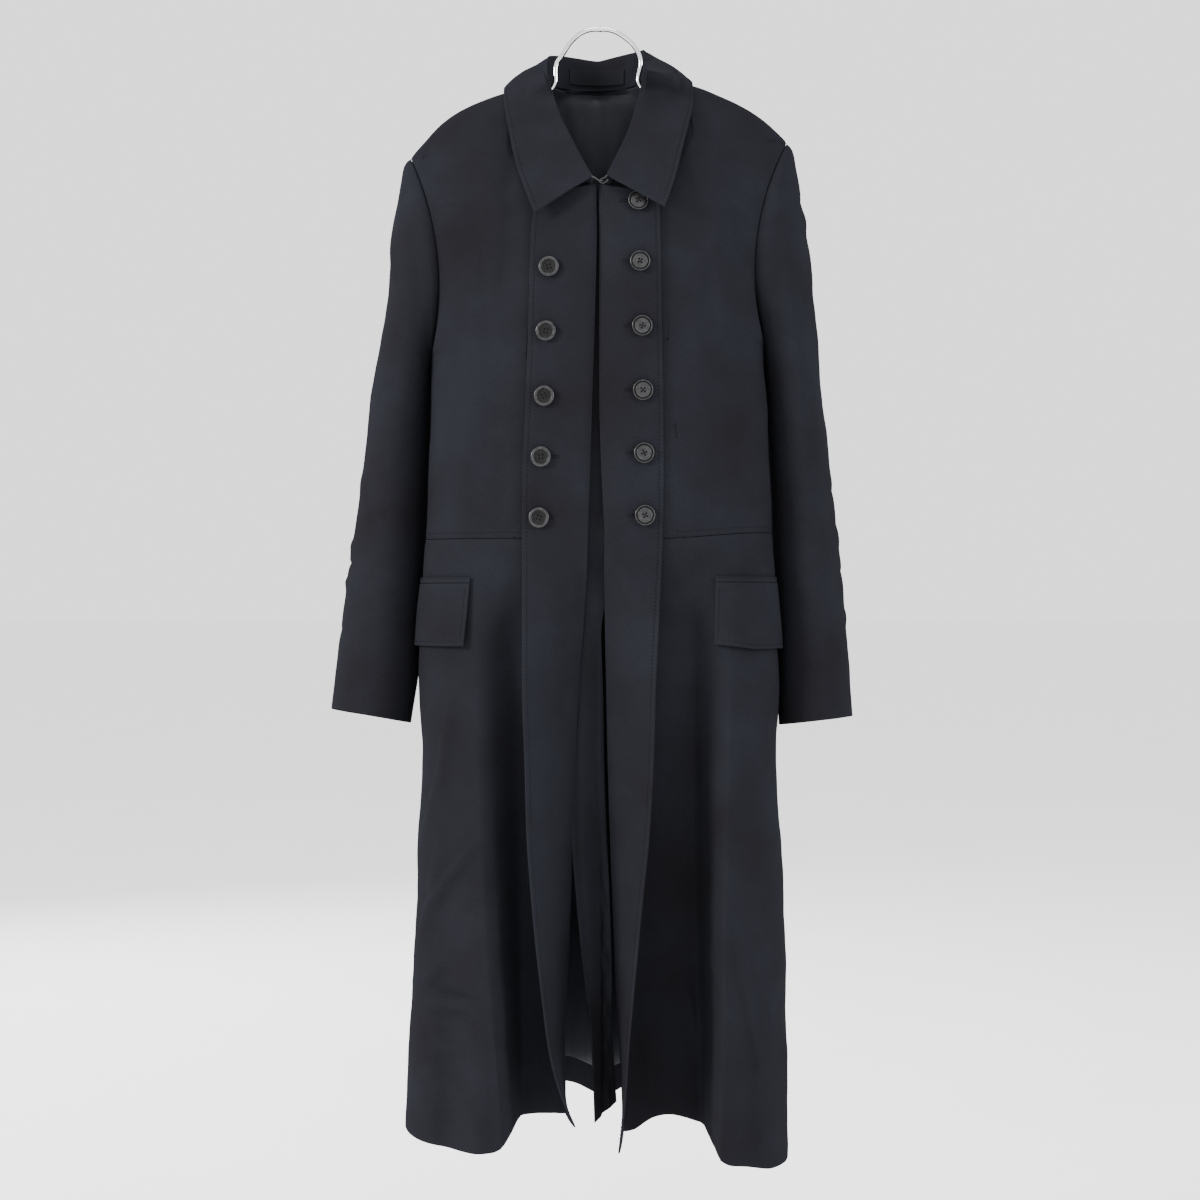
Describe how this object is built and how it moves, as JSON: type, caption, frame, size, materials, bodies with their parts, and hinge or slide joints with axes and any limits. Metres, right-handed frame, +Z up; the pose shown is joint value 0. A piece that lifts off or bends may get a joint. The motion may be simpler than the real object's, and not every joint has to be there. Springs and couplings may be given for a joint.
{
  "type": "double-breasted military coat on a bent rod hanger",
  "caption": "Long double-breasted black wool military coat hung on a bent steel rod, lapels buttoned back, skirts hanging in deep soft folds.",
  "frame": {"origin": "top of the hanger rod's dome, where a peg or hook holds it", "axes": "+Z up, -Y towards the coat's front, +X towards the wearer's left"},
  "size_m": [0.5619, 0.2561, 1.2025],
  "materials": {
    "wool_cloth": "matt close wool twill, very dark charcoal",
    "lining": "smooth dark blue-grey twill lining",
    "label": "plain woven tape, left bare",
    "button": "dark horn-like, satin gloss with four holes",
    "hook_wire": "black japanned wire",
    "hanger_steel": "bright plated rod"
  },
  "bodies": {
    "root": {"back_right": "wool_cloth", "back_left": "wool_cloth", "front_right_bodice": "wool_cloth", "front_right_skirt": "wool_cloth", "sleeve_right": "wool_cloth", "lapel_right": "wool_cloth", "pocket_flap_right": "wool_cloth", "pocket_welt_right": "wool_cloth", "front_left_bodice": "wool_cloth", "front_left_skirt": "wool_cloth", "sleeve_left": "wool_cloth", "lapel_left": "wool_cloth", "pocket_flap_left": "wool_cloth", "pocket_welt_left": "wool_cloth", "under_placket": "wool_cloth", "collar": "wool_cloth", "back_lining": "lining", "neck_label": "label", "button_right_1": "button", "button_right_2": "button", "button_right_3": "button", "button_right_4": "button", "button_right_5": "button", "button_left_1": "button", "button_left_2": "button", "button_left_3": "button", "button_left_4": "button", "button_left_5": "button", "button_left_6": "button", "neck_hook": "hook_wire", "neck_eye": "hook_wire", "hanger_rod": "hanger_steel"}
  },
  "joints": []
}
